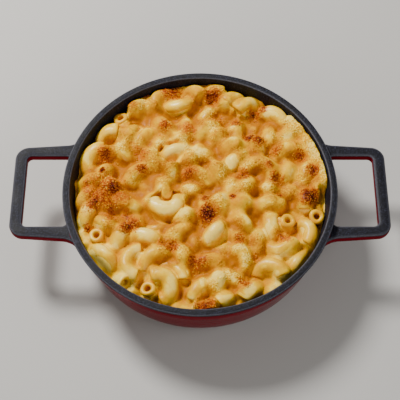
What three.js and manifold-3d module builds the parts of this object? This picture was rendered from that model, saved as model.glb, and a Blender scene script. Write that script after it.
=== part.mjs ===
// A round enamelled cast-iron gratin pan with two loop handles, filled with baked macaroni cheese.
// Millimetres, +Z up. The origin is the centre of the pan's base, and the handles lie along X.
import * as THREE from 'three';
import { mergeVertices } from 'three/addons/utils/BufferGeometryUtils.js';
import Module from 'manifold-3d';

const wasm = await Module();
wasm.setup();

const degree = Math.PI / 180;

// pan
const rimRadius = 84;
const panHeight = 47;
const wallDraft = 10 * degree;      // the wall leans out from the base
const wallThickness = 4.3;
const floorThickness = 4.5;
const outerCornerRadius = 12.5;     // wall to base
const innerCornerRadius = 9;
const rimEdgeRadius = 1.2;
const panSides = 56;

// handles
const handleReach = 115.5;          // from the pan's axis to the outside of the handle
const handleHalfWidth = 31;
const handleBar = 6.8;              // width of the two arms
const handleGrip = 7.6;             // and of the bar across their ends
const handleThickness = 6.6;
const handleDrop = 4.8;             // from the rim down to the top of the handle
const handleFlare = 1.5;            // the arms are this much wider apart at the body
const handleCornerRadius = 8.5;
const handleHoleRadius = 3;
const handleBodyFillet = 15;        // outside corner between arm and body
const handleHoleFillet = 4.5;       // the same corner inside the finger hole
const handleEdgeRadius = 1.9;

// food
const foodGap = 0.35;               // clear of the pan
const heapTopCentre = 45.4;         // highest point of the pieces at the middle
const heapTopEdge = 43.4;           // and beside the wall
const heapRadius = 78;
const sauceDepth = 8;               // the core lies this far below the tops of the pieces
const crustRelief = 0.55;
const heapSides = 40;
const heapRings = 8;

// one elbow of macaroni
const tubeRadius = 4.8;
const boreRadius = 2.1;
const bendRadius = 8.6;
const tubeSides = 6;
const boreSides = 4;
const tubeSteps = 4;

// Elbows that show: x, y, heading, roll, pitch, arc, sink. Roll 0 lies flat with its bulge to the left of
// its heading, 90 stands as an arch, and -90 lies as a U with open ends up. Sink is below the heap's top.
const shownElbows = [
  // left side, back to front
  [-49.5, 55, -95, -88, 27, 70, 0], [-61, 41, 20, 15, 0, 125, 0.5], [-69.5, 23, 90, 8, 0, 160, 0],
  [-54, 13, 182, -80, 8, 110, 1], [-70.5, 7, 12, 55, 0, 110, 1.5], [-72, -6, 75, 65, 0, 100, 2.5],
  [-70, -18, 62, 55, 0, 110, 1.5], [-59, -20, 105, 70, 0, 100, 1.5], [-59.5, -28.5, 215, -85, 25, 80, 0.5],
  [-49, -34, 52, 65, 0, 110, 0.5], [-55.5, -46, -25, 18, 0, 155, 0.8], [-42, -47, 105, 8, 0, 160, 0.5],
  [-34, -31, -5, 50, 0, 125, 0], [-29, -45, 58, 30, 0, 105, 0],
  // front
  [-29.5, -62, -95, -88, 27, 70, 0.3], [-19, -64, -68, 4, 0, 160, 0], [-16, -51, -30, 12, 0, 130, 3],
  [1, -63, 12, 60, 0, 110, 1], [17, -70, 18, 50, 0, 105, 2], [31, -65, 33, 50, 0, 115, 1],
  [26.5, -47, -62, 40, -12, 105, 0.3], [41, -51, 0, 15, 0, 145, 0.5], [49, -38, 196, 22, 0, 115, 0],
  [59, -48, 45, 60, 0, 105, 2.5],
  // right side, front to back
  [66, -27, -88, 30, 0, 110, 0.5], [72, -13, 250, -65, 14, 95, 1.5], [52.6, -24, 95, -85, 26, 100, 0.3],
  [43, -22, 95, 60, 0, 105, 1], [65, -3, 90, 75, 0, 100, 1], [49, 0, 200, -65, 10, 110, 0.5],
  [41, -8, 60, 60, 0, 110, 0.5], [37, 18, 0, 15, 0, 140, 0], [56, 30, 10, 45, 0, 105, 0.5],
  [68, 16, 80, 60, 0, 100, 1.5], [55, 41, 85, 60, 0, 95, 1.5], [45, 43, 60, 65, 0, 95, 2],
  [48.5, 57, -10, 50, 0, 110, -1],
  // back
  [31, 65, 35, 60, 6, 115, -1.5], [22.5, 69, 46, 70, 8, 95, -2], [8, 73, -15, 60, 0, 100, -1.2],
  [-5, 74, 5, 45, 0, 100, -1.5], [-14.5, 63.5, 212, 25, 0, 110, -1], [-25, 70.5, 55, 22, 0, 125, -1],
  [-38, 65, 35, 60, 0, 105, 0],
  // middle, mostly under the cheese
  [-20, -10, 182, 10, 0, 160, 0], [-12, -27, 50, 70, 0, 105, 1.5], [8, -30, 62, 70, 0, 105, 0],
  [-17, 28, 18, 60, 0, 115, 0.5], [20, 20, 52, 70, 0, 110, 0.5], [5, -15, 120, 60, 0, 110, 1],
  [-2, 12, -20, 40, 0, 120, 1.5], [3, 44, 35, 50, 0, 115, 1], [-36, 38, 60, 55, 0, 110, 1.5],
  [-38, 14, 15, 45, 0, 120, 1.5], [20, 2, 80, 40, 0, 115, 2], [-46, -6, 130, 60, 0, 110, 1.5],
  [22, -29, 150, 50, 0, 115, 2], [5, -47, 20, 60, 0, 110, 1.5], [24, 40, 120, 50, 0, 115, 1.5],
  [-20, 46, 150, 60, 0, 105, 2],
];
const hollowElbows = 16;            // the first ones of the list have their bore
const fillerPlaces = 150;           // tried places of the loose rule, most of them taken already
const fillerSpacing = 12;
const fillerSink = 2.6;
const fillerSides = 5;
const fillerSteps = 3;

function toSolid(geometry, matrix = new THREE.Matrix4()) {
  const bare = geometry.clone().applyMatrix4(matrix);
  bare.deleteAttribute('normal');
  bare.deleteAttribute('uv');
  const merged = mergeVertices(bare, 1e-4);
  const corners = merged.index.array;
  const triangles = [];
  for (let i = 0; i < corners.length; i += 3) {
    const [a, b, c] = corners.slice(i, i + 3);
    if (a !== b && b !== c && c !== a) triangles.push(a, b, c);
  }
  return new wasm.Manifold(new wasm.Mesh({
    numProp: 3,
    vertProperties: new Float32Array(merged.attributes.position.array),
    triVerts: new Uint32Array(triangles),
  }));
}

// the largest piece alone, without sealed bores and loose scraps
function largestPiece(solid) {
  const pieces = solid.decompose();
  return pieces.reduce((best, piece) => (piece.volume() > best.volume() ? piece : best));
}

function toMesh(solid, name, material) {
  const data = solid.getMesh();
  const geometry = new THREE.BufferGeometry();
  geometry.setAttribute('position', new THREE.BufferAttribute(new Float32Array(data.vertProperties), 3));
  geometry.setIndex(new THREE.BufferAttribute(new Uint32Array(data.triVerts), 1));
  geometry.computeVertexNormals();
  const mesh = new THREE.Mesh(geometry, material);
  mesh.name = name;
  return mesh;
}

// radius of the wall's outside at a height
function wallRadius(height) {
  return rimRadius - (panHeight - height) * Math.tan(wallDraft);
}

// floor, rounded corner and drafted wall of a bowl as a path from the axis to the wall's foot
function bowlPath(inset, floorHeight, cornerRadius) {
  const slant = inset / Math.cos(wallDraft);
  const centreHeight = floorHeight + cornerRadius;
  const centreRadius = wallRadius(centreHeight) - slant - cornerRadius / Math.cos(wallDraft);
  const path = new THREE.Path();
  path.moveTo(0, floorHeight);
  path.lineTo(centreRadius, floorHeight);
  path.absarc(centreRadius, centreHeight, cornerRadius, -Math.PI / 2, -wallDraft, false);
  return path;
}

function lathe(path, divisions, sides) {
  return new THREE.LatheGeometry(path.getPoints(divisions), sides).rotateX(Math.PI / 2);
}

function panOutside() {
  const path = bowlPath(0, 0, outerCornerRadius);
  path.absarc(rimRadius - rimEdgeRadius, panHeight - rimEdgeRadius, rimEdgeRadius, 0, Math.PI / 2, false);
  path.lineTo(0, panHeight);
  return toSolid(lathe(path, 2, panSides));
}

// the room inside the pan, open through its top, with the rim's inner edge rounded off
function panInside() {
  const path = bowlPath(wallThickness, floorThickness, innerCornerRadius);
  const lip = wallRadius(panHeight - rimEdgeRadius) - wallThickness / Math.cos(wallDraft);
  const clear = 3;
  path.lineTo(lip, panHeight - rimEdgeRadius);
  path.absarc(lip + rimEdgeRadius, panHeight - rimEdgeRadius, rimEdgeRadius, Math.PI, Math.PI / 2, true);
  path.lineTo(lip + rimEdgeRadius, panHeight + clear);
  path.lineTo(0, panHeight + clear);
  return toSolid(lathe(path, 2, panSides));
}

// the finger hole of a handle, its body side hidden inside the wall
function fingerHole(bodyRadius) {
  const half = handleHalfWidth - handleBar;
  const far = handleReach - handleGrip - handleHoleRadius;
  const lift = half - handleHoleFillet;
  const reach = Math.sqrt((bodyRadius + handleHoleFillet) ** 2 - lift ** 2);
  const turn = Math.atan2(lift, reach);
  const hole = new THREE.Path();
  hole.absarc(reach, lift, handleHoleFillet, Math.PI + turn, Math.PI / 2, true);
  hole.absarc(far, half - handleHoleRadius, handleHoleRadius, Math.PI / 2, 0, true);
  hole.absarc(far, handleHoleRadius - half, handleHoleRadius, 0, -Math.PI / 2, true);
  hole.absarc(reach, -lift, handleHoleFillet, -Math.PI / 2, -Math.PI - turn, true);
  hole.closePath();
  return hole;
}

// one rectangular loop, level, with rounded edges and filleted roots
function handleGeometry() {
  const topHeight = panHeight - handleDrop;
  const bodyRadius = wallRadius(topHeight - handleThickness / 2);
  const rise = handleHalfWidth + handleFlare + handleBodyFillet;
  const reach = Math.sqrt((bodyRadius + handleBodyFillet) ** 2 - rise ** 2);
  const turn = Math.atan2(rise, reach);
  const rootRadius = bodyRadius - 12;
  const far = handleReach - handleCornerRadius;
  const near = handleHalfWidth - handleCornerRadius;
  const shape = new THREE.Shape();
  shape.absarc(reach, -rise, handleBodyFillet, Math.PI - turn, Math.PI / 2, true);
  shape.absarc(far, -near, handleCornerRadius, -Math.PI / 2, 0, false);
  shape.absarc(far, near, handleCornerRadius, 0, Math.PI / 2, false);
  shape.absarc(reach, rise, handleBodyFillet, -Math.PI / 2, turn - Math.PI, true);
  shape.lineTo(rootRadius * Math.cos(turn), rootRadius * Math.sin(turn));
  shape.lineTo(rootRadius * Math.cos(turn), -rootRadius * Math.sin(turn));
  shape.holes.push(fingerHole(bodyRadius));
  const geometry = new THREE.ExtrudeGeometry(shape, {
    depth: handleThickness - 2 * handleEdgeRadius,
    curveSegments: 3,
    bevelThickness: handleEdgeRadius,
    bevelSize: handleEdgeRadius,
    bevelOffset: -handleEdgeRadius,
    bevelSegments: 2,
  });
  return geometry.translate(0, 0, topHeight - handleThickness + handleEdgeRadius);
}

function makePan() {
  const handle = handleGeometry();
  const turned = new THREE.Matrix4().makeRotationZ(Math.PI);
  const body = panOutside().add(toSolid(handle)).add(toSolid(handle, turned)).subtract(panInside());
  const enamel = new THREE.MeshStandardMaterial({ color: 0x2b2c31, roughness: 0.55, metalness: 0.1 });
  return toMesh(largestPiece(body), 'pan', enamel);
}

function heapTop(x, y) {
  const share = (x * x + y * y) / (heapRadius * heapRadius);
  return heapTopCentre - (heapTopCentre - heapTopEdge) * share;
}

// the low crags of the browned cheese between the pieces
function crust(x, y) {
  const broad = Math.sin(x / 6.1 + 1.3) * Math.sin(y / 5.3 + 0.4);
  const fine = Math.sin(x / 2.3 - y / 3.1) * Math.sin(y / 2.7 + x / 4.1);
  return crustRelief * (broad + 0.6 * fine);
}

// all that the food may fill: the room inside the pan less a small gap
function foodRoom(top, crop) {
  const path = bowlPath(wallThickness + foodGap, floorThickness + foodGap, innerCornerRadius);
  const edge = wallRadius(top) - (wallThickness + foodGap) / Math.cos(wallDraft);
  path.lineTo(edge, top);
  for (let ring = 1; ring <= crop; ring += 1) path.lineTo(edge * (1 - ring / crop), top);
  return lathe(path, 2, heapSides);
}

function heapCore() {
  const edgeHeight = heapTopEdge - sauceDepth;
  const geometry = foodRoom(edgeHeight, heapRings);
  const place = geometry.attributes.position;
  const edge = wallRadius(edgeHeight) - (wallThickness + foodGap) / Math.cos(wallDraft);
  for (let i = 0; i < place.count; i += 1) {
    const [x, y, z] = [place.getX(i), place.getY(i), place.getZ(i)];
    if (z < edgeHeight - 0.001 || Math.hypot(x, y) > edge - 0.1) continue;
    place.setZ(i, heapTop(x, y) - sauceDepth + crust(x, y));
  }
  return toSolid(geometry);
}

class ElbowArc extends THREE.Curve {
  constructor(angle) {
    super();
    this.angle = angle;
    this.rise = bendRadius * Math.sin(angle / 2) / (angle / 2);
  }

  getPoint(t) {
    const turn = (t - 0.5) * this.angle;
    return new THREE.Vector3(bendRadius * Math.sin(turn), bendRadius * Math.cos(turn) - this.rise, 0);
  }
}

function circlePath(path, radius, sides, clockwise) {
  for (let i = 0; i < sides; i += 1) {
    const turn = (clockwise ? -1 : 1) * (i + 0.5) * 2 * Math.PI / sides;
    path[i ? 'lineTo' : 'moveTo'](radius * Math.cos(turn), radius * Math.sin(turn));
  }
  path.closePath();
  return path;
}

// an elbow with its highest line at the heap's top less its sink
function elbowSolid([x, y, heading, roll, pitch, arc, sink], sides, steps, hollow) {
  const curve = new ElbowArc(arc * degree);
  const section = circlePath(new THREE.Shape(), tubeRadius, sides, false);
  if (hollow) section.holes.push(circlePath(new THREE.Path(), boreRadius, boreSides, true));
  const options = { steps, bevelEnabled: false, extrudePath: curve };
  const geometry = new THREE.ExtrudeGeometry(section, options);
  const turn = new THREE.Euler(roll * degree, -pitch * degree, heading * degree, 'ZYX');
  const place = new THREE.Matrix4().makeRotationFromEuler(turn);
  const highest = Math.max(...curve.getPoints(12).map((point) => point.applyMatrix4(place).z));
  place.setPosition(x, y, heapTop(x, y) - sink - tubeRadius - highest);
  return toSolid(geometry, place);
}

// random draws that give the same heap each time
function* seededDraws(seed) {
  let state = seed;
  while (true) {
    state = (state * 16807) % 2147483647;
    yield state / 2147483647;
  }
}

// a loose sunflower spread, kept where no shown elbow lies
function fillerList() {
  const draws = seededDraws(2025);
  const draw = (low, high) => low + (high - low) * draws.next().value;
  const taken = shownElbows.map(([x, y]) => [x, y]);
  const list = [];
  for (let i = 0; i < fillerPlaces; i += 1) {
    const radius = (heapRadius - 4) * Math.sqrt((i + 0.5) / fillerPlaces);
    const turn = i * Math.PI * (3 - Math.sqrt(5));
    const [x, y] = [radius * Math.cos(turn), radius * Math.sin(turn)];
    const pose = [draw(0, 360), draw(20, 110), draw(-8, 8), draw(90, 125)];
    if (taken.some(([u, v]) => Math.hypot(u - x, v - y) < fillerSpacing)) continue;
    taken.push([x, y]);
    list.push([x, y, ...pose, fillerSink]);
  }
  return list;
}

function makeHeap() {
  const shown = shownElbows.map((elbow, i) => elbowSolid(elbow, tubeSides, tubeSteps, i < hollowElbows));
  const filler = fillerList().map((elbow) => elbowSolid(elbow, fillerSides, fillerSteps, false));
  const heap = [...shown, ...filler].reduce((joined, elbow) => joined.add(elbow), heapCore());
  const room = toSolid(foodRoom(panHeight + 2, 1));
  const cheese = new THREE.MeshStandardMaterial({ color: 0xf0a93a, roughness: 0.45, metalness: 0 });
  return toMesh(largestPiece(heap.intersect(room)), 'mac_and_cheese', cheese);
}

const macAndCheese = new THREE.Group();
macAndCheese.add(makePan(), makeHeap());

export default macAndCheese;
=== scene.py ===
import math
import bpy
import numpy as np
from mathutils import Euler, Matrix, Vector


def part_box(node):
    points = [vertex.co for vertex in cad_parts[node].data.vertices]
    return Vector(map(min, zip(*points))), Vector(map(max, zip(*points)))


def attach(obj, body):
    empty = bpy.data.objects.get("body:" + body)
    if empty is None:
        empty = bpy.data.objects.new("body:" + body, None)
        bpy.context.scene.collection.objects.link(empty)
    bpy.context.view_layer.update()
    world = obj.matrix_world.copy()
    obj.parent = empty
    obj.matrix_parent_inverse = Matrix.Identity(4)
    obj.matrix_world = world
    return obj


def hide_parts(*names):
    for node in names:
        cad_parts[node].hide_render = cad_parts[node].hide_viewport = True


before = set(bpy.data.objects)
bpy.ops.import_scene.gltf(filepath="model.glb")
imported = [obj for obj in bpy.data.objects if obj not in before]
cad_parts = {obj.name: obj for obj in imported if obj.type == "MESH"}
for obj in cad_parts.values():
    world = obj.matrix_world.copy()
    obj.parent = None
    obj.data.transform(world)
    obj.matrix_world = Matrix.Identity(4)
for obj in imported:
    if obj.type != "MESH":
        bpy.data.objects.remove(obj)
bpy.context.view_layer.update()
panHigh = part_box("pan")[1]
mm = 0.001


def deselectAll():
    if bpy.context.object and bpy.context.object.mode != "OBJECT":
        bpy.ops.object.mode_set(mode="OBJECT")
    bpy.ops.object.select_all(action="DESELECT")


def useOnly(piece):
    deselectAll()
    piece.select_set(True)
    bpy.context.view_layer.objects.active = piece


def openMesh(piece):
    useOnly(piece)
    bpy.ops.object.mode_set(mode="EDIT")
    bpy.ops.mesh.select_all(action="SELECT")


def extrudeUp(height):
    bpy.ops.mesh.extrude_region_move(TRANSFORM_OT_translate={"value": (0, 0, height)})


def turnOutward(piece):
    openMesh(piece)
    bpy.ops.mesh.normals_make_consistent(inside=False)
    bpy.ops.object.mode_set(mode="OBJECT")


def finishPiece(piece, slot, *nodes):
    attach(piece, "root")
    if nodes:
        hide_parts(*nodes)
    print("made", piece.name, len(piece.data.polygons), "faces")


def meshPiece(name, points, faces):
    mesh = bpy.data.meshes.new(name)
    mesh.from_pydata(points.tolist(), [], faces)
    piece = bpy.data.objects.new(name, mesh)
    bpy.context.scene.collection.objects.link(piece)
    return piece


def addAttribute(piece, name, values):
    attribute = piece.data.attributes.new(name, "FLOAT", "POINT")
    attribute.data.foreach_set("value", values.astype(np.float32).ravel())


# how far each point's normal rises, from -1 to 1
def normalRise(piece):
    normals = np.zeros(len(piece.data.vertices) * 3)
    piece.data.vertices.foreach_get("normal", normals)
    return normals[2::3]


def smoothStep(low, high, values):
    t = np.clip((values - low) / (high - low), 0, 1)
    return t * t * (3 - 2 * t)


def newMaterial(name):
    material = bpy.data.materials.new(name)
    material.use_nodes = True
    return material, material.node_tree


# a socket takes another's output, a colour or a plain value
def feed(tree, socket, value):
    if isinstance(value, bpy.types.NodeSocket):
        tree.links.new(value, socket)
    elif isinstance(value, tuple):
        socket.default_value = (*value, 1.0)
    else:
        socket.default_value = value


def feedShader(material, values):
    tree = material.node_tree
    for name, value in values.items():
        feed(tree, tree.nodes["Principled BSDF"].inputs[name], value)
    return material


def addNoise(tree, scale, detail, rough=0.5):
    place = tree.nodes.new("ShaderNodeTexCoord")
    noise = tree.nodes.new("ShaderNodeTexNoise")
    noise.inputs["Scale"].default_value = scale
    noise.inputs["Detail"].default_value = detail
    noise.inputs["Roughness"].default_value = rough
    tree.links.new(place.outputs["Object"], noise.inputs["Vector"])
    return noise.outputs["Fac"]


def addShare(tree, name):
    share = tree.nodes.new("ShaderNodeAttribute")
    share.attribute_name = name
    return share.outputs["Fac"]


def addRamp(tree, factor, stops):
    ramp = tree.nodes.new("ShaderNodeValToRGB")
    while len(ramp.color_ramp.elements) < len(stops):
        ramp.color_ramp.elements.new(0.5)
    for element, (place, colour) in zip(ramp.color_ramp.elements, stops):
        element.position = place
        element.color = (*colour, 1.0)
    tree.links.new(factor, ramp.inputs["Fac"])
    return ramp.outputs["Color"]


# the same for a plain value, from one place and value to another
def addGrade(tree, factor, start, end):
    return addRamp(tree, factor, [(place, (value, value, value)) for place, value in (start, end)])


def addMath(tree, operation, first, second, clamp=False):
    step = tree.nodes.new("ShaderNodeMath")
    step.operation = operation
    step.use_clamp = clamp
    for socket, value in zip(step.inputs, (first, second)):
        feed(tree, socket, value)
    return step.outputs["Value"]


# how far a noise pushes its share up or down
def addSwing(tree, noise, amount, lift=0.0):
    return addMath(tree, "MULTIPLY", addMath(tree, "SUBTRACT", noise, 0.5 - lift), amount)


def addMix(tree, factor, first, second, blend="MIX"):
    mix = tree.nodes.new("ShaderNodeMix")
    mix.data_type = "RGBA"
    mix.blend_type = blend
    for i, value in ((0, factor), (6, first), (7, second)):      # 6 and 7 are its two colours
        feed(tree, mix.inputs[i], value)
    return mix.outputs[2]


def addBump(tree, height, strength, distance, below=None):
    bump = tree.nodes.new("ShaderNodeBump")
    bump.inputs["Strength"].default_value = strength
    bump.inputs["Distance"].default_value = distance
    tree.links.new(height, bump.inputs["Height"])
    if below is not None:
        tree.links.new(below, bump.inputs["Normal"])
    return bump.outputs["Normal"]


# Noises are scale and detail, grades are two places and values, and bumps are strength and depth.
blackFinish = {
    "grain": (1500, 3),
    "patches": (90, 4),
    "speckle": [(0.50, (0.002, 0.002, 0.005)), (0.68, (0.026, 0.028, 0.050))],
    "patchTone": ((0.35, 0.75), (0.7, 1.25)),
    # the lighter grey of the edges: thin enamel and a painted highlight
    "thinEnamelAndHighlightColour": (0.11, 0.113, 0.14),
    "edgeLift": 0.1,
    "roughness": ((0.3, 0.50), (0.7, 0.66)),
    "specular": 0.2,
    "bump": (0.6, 0.5 * mm),
}


def blackEnamel():
    material, tree = newMaterial("matteBlackEnamel")
    grain = addNoise(tree, *blackFinish["grain"])
    patches = addNoise(tree, *blackFinish["patches"])
    speckle = addRamp(tree, grain, blackFinish["speckle"])
    tone = addGrade(tree, patches, *blackFinish["patchTone"])
    enamel = addMix(tree, 1.0, speckle, tone, "MULTIPLY")
    # lighter edges: thin enamel with a painted highlight on it
    lifted = addMath(tree, "ADD", grain, blackFinish["edgeLift"])
    thinEnamelAndHighlight = addMath(tree, "MULTIPLY", addShare(tree, "thinEnamelAndHighlight"), lifted)
    return feedShader(material, {
        "Base Color": addMix(tree, thinEnamelAndHighlight, enamel, blackFinish["thinEnamelAndHighlightColour"]),
        "Roughness": addGrade(tree, patches, *blackFinish["roughness"]),
        "Specular IOR Level": blackFinish["specular"],
        "Normal": addBump(tree, grain, *blackFinish["bump"]),
    })


redFinish = {
    "shade": (25, 2),
    "peel": (260, 2),
    "shades": [(0.3, (0.110, 0.001, 0.005)), (0.7, (0.145, 0.0015, 0.008))],
    "roughness": 0.14,
    "specular": 0.010,
    "bump": (0.12, 0.6 * mm),
}


def redEnamel():
    material, tree = newMaterial("glossRedEnamel")
    shade = addNoise(tree, *redFinish["shade"])
    peel = addNoise(tree, *redFinish["peel"])
    return feedShader(material, {
        "Base Color": addRamp(tree, shade, redFinish["shades"]),
        "Roughness": redFinish["roughness"],
        "Specular IOR Level": redFinish["specular"],
        "Normal": addBump(tree, peel, *redFinish["bump"]),
    })


panSizes = {
    "rimRadius": panHigh.y,
    "height": panHigh.z,
    "wallDraft": math.radians(10),
    "wallThickness": 4.3 * mm,
    "floorThickness": 4.5 * mm,
    "outerCorner": 12.5 * mm,
    "innerCorner": 9 * mm,
    "rimEdge": 1.3 * mm,
    "sides": 160,
    "outerSteps": 10,
    "innerSteps": 8,
    "rimSteps": 5,
    "wallStops": (0.33, 0.66),  # extra rings up the outside
    "smoothBelow": math.radians(35),
}

handleSizes = {
    "reach": panHigh.x,
    "halfWidth": 31 * mm,
    "bar": 6.8 * mm,            # width of the two arms
    "grip": 7.6 * mm,           # and of the bar across their ends
    "thickness": 6.6 * mm,
    "drop": 4.8 * mm,           # from the rim down to the handle's top
    "flare": 1.5 * mm,          # the arms are this much wider apart at the body
    "corner": 8.5 * mm,
    "holeCorner": 3 * mm,
    "bodyFillet": 15 * mm,
    "holeFillet": 4.5 * mm,
    "filletSteps": 8,
    "cornerSteps": 10,
    "edge": 1.9 * mm,
    "edgeSteps": 4,
    "sharpAbove": math.radians(60),
    "rootRadius": 80.4 * mm,    # the arms end inside the wall
    "rootClear": 0.5 * mm,
}

handleTop = panSizes["height"] - handleSizes["drop"]
handleBottom = handleTop - handleSizes["thickness"]

# where the black enamel goes, and where its edges are lighter, as thin enamel and painted highlight
enamelRule = {
    "belowRim": 1.7 * mm,
    "belowHandleTop": 1.5 * mm,
    "insideReach": 0.6 * mm,
    "floorShare": 0.9,
    "handleClear": 0.2 * mm,
    # the lighter edge is partly thin enamel and partly a painted highlight
    "thinEnamelAndHighlightFrom": (0.35, 0.65),   # rise of the normal where the light edge starts
    "thinEnamelAndHighlightTo": (0.85, 0.97),     # and where it has gone again
}


def wallRadius(height):
    return panSizes["rimRadius"] - (panSizes["height"] - height) * math.tan(panSizes["wallDraft"])


def insideRadius(height, gap=0.0):
    return wallRadius(height) - (panSizes["wallThickness"] + gap) / math.cos(panSizes["wallDraft"])


def arcPoints(x, y, radius, start, end, steps):
    turns = [start + (end - start) * i / steps for i in range(steps + 1)]
    return [(x + radius * math.cos(turn), y + radius * math.sin(turn)) for turn in turns]


# floor corner and wall foot of a bowl, as radius and height
def bowlCorner(inset, floorHeight, radius, steps):
    draft = panSizes["wallDraft"]
    height = floorHeight + radius
    centre = wallRadius(height) - (inset + radius) / math.cos(draft)
    return arcPoints(centre, height, radius, -math.pi / 2, -draft, steps)


# radius and height of the rings, up the outside and down the inside
def panStations():
    edge, top = panSizes["rimEdge"], panSizes["height"]
    stations = bowlCorner(0, 0, panSizes["outerCorner"], panSizes["outerSteps"])
    foot = stations[-1][1]
    for share in panSizes["wallStops"]:
        height = foot + share * (top - edge - foot)
        stations.append((wallRadius(height), height))
    outer, lip = panSizes["rimRadius"] - edge, insideRadius(top - edge)
    stations += arcPoints(outer, top - edge, edge, 0, math.pi / 2, panSizes["rimSteps"])
    stations += arcPoints(lip + edge, top - edge, edge, math.pi / 2, math.pi, panSizes["rimSteps"])
    inner = bowlCorner(panSizes["wallThickness"], panSizes["floorThickness"],
                       panSizes["innerCorner"], panSizes["innerSteps"])
    return stations + inner[::-1]


def makeBowl():
    stations = panStations()
    bpy.ops.mesh.primitive_circle_add(
        vertices=panSizes["sides"], radius=stations[0][0], fill_type="NGON", location=(0, 0, 0))
    bowl = bpy.context.object
    openMesh(bowl)
    for (radius, height), (nextRadius, nextHeight) in zip(stations, stations[1:]):
        extrudeUp(nextHeight - height)
        share = nextRadius / radius
        bpy.ops.transform.resize(value=(share, share, 1), center_override=(0, 0, nextHeight))
    turnOutward(bowl)
    return bowl


# outer and inner edge of a loop handle, from one arm's end in the wall to the other's
def handleEdges():
    body = wallRadius(handleBottom)
    root = handleSizes["rootRadius"]
    outer = (1, handleSizes["bodyFillet"], handleSizes["corner"], 0, 0, handleSizes["flare"])
    hole = (-1, handleSizes["holeFillet"], handleSizes["holeCorner"],
            handleSizes["bar"], handleSizes["grip"], 0)
    edges = []
    for side, fillet, corner, inset, endInset, spread in (outer, hole):
        half = handleSizes["halfWidth"] - inset
        far = handleSizes["reach"] - endInset - corner
        rise = half + spread + side * fillet
        reach = math.sqrt((body + fillet) ** 2 - rise ** 2)
        turn = math.atan2(rise, reach)
        start = turn - math.pi if side > 0 else turn + math.pi
        path = [(root * math.cos(turn), root * math.sin(turn))]
        path += arcPoints(reach, rise, fillet, start, -side * math.pi / 2, handleSizes["filletSteps"])
        path += arcPoints(far, half - corner, corner, math.pi / 2, 0, handleSizes["cornerSteps"])
        edges.append(path + [(x, -y) for x, y in path[::-1]])
    return edges


def makeHandle():
    outer, inner = handleEdges()
    count = len(outer)
    points = np.array([(x, y, handleBottom) for x, y in outer + inner])
    steps = np.arange(count - 1)
    faces = np.stack([steps, steps + 1, count + steps + 1, count + steps], 1)
    handle = meshPiece("handle", points, faces.tolist())
    openMesh(handle)
    extrudeUp(handleSizes["thickness"])
    turnOutward(handle)
    openMesh(handle)
    bpy.ops.mesh.select_all(action="DESELECT")
    bpy.ops.mesh.select_mode(type="EDGE")
    bpy.ops.mesh.edges_select_sharp(sharpness=handleSizes["sharpAbove"])
    bpy.ops.object.mode_set(mode="OBJECT")
    # the long edges are rounded, and the ends in the wall are not
    beyond = handleSizes["rootRadius"] + handleSizes["rootClear"]
    for edge in handle.data.edges:
        first, second = (handle.data.vertices[i].co for i in edge.vertices)
        nearest = min(math.hypot(first.x, first.y), math.hypot(second.x, second.y))
        level = abs(first.z - second.z) < handleSizes["thickness"] / 2
        edge.select = edge.select and level and nearest > beyond
    bpy.ops.object.mode_set(mode="EDIT")
    bpy.ops.mesh.bevel(offset=handleSizes["edge"], segments=handleSizes["edgeSteps"],
                       profile=0.5, clamp_overlap=False)
    bpy.ops.object.mode_set(mode="OBJECT")
    return handle


def paintPan(pan):
    pan.data.materials.clear()
    pan.data.materials.append(blackEnamel())
    pan.data.materials.append(redEnamel())
    rimLine = panSizes["height"] - enamelRule["belowRim"]
    handleLine = handleTop - enamelRule["belowHandleTop"]
    floorLine = panSizes["floorThickness"] * enamelRule["floorShare"]
    for face in pan.data.polygons:
        x, y, z = face.center
        radius = math.hypot(x, y)
        inside = radius < insideRadius(z) + enamelRule["insideReach"] and z > floorLine
        onHandle = radius > wallRadius(z) + enamelRule["handleClear"] and z > handleLine
        face.material_index = 0 if z > rimLine or inside or onHandle else 1
    # where an edge turns the enamel is lighter: partly thin enamel, partly a painted highlight for the
    # light these edges catch
    rise = normalRise(pan)
    thinEnamelAndHighlight = smoothStep(*enamelRule["thinEnamelAndHighlightFrom"], rise) * (1 - smoothStep(*enamelRule["thinEnamelAndHighlightTo"], rise))
    addAttribute(pan, "thinEnamelAndHighlight", thinEnamelAndHighlight)


def makePan():
    bowl = makeBowl()
    handle = makeHandle()
    useOnly(handle)
    bpy.ops.object.duplicate()
    other = bpy.context.object
    other.rotation_euler = (0, 0, math.pi)
    bpy.ops.object.transform_apply()
    useOnly(bowl)
    handle.select_set(True)
    other.select_set(True)
    bpy.ops.object.join()
    pan = bpy.context.object
    pan.name = pan.data.name = "pan_enamelled"
    paintPan(pan)
    bpy.ops.object.shade_smooth_by_angle(angle=panSizes["smoothBelow"])
    finishPiece(pan, "enamelled_iron", "pan")


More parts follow.
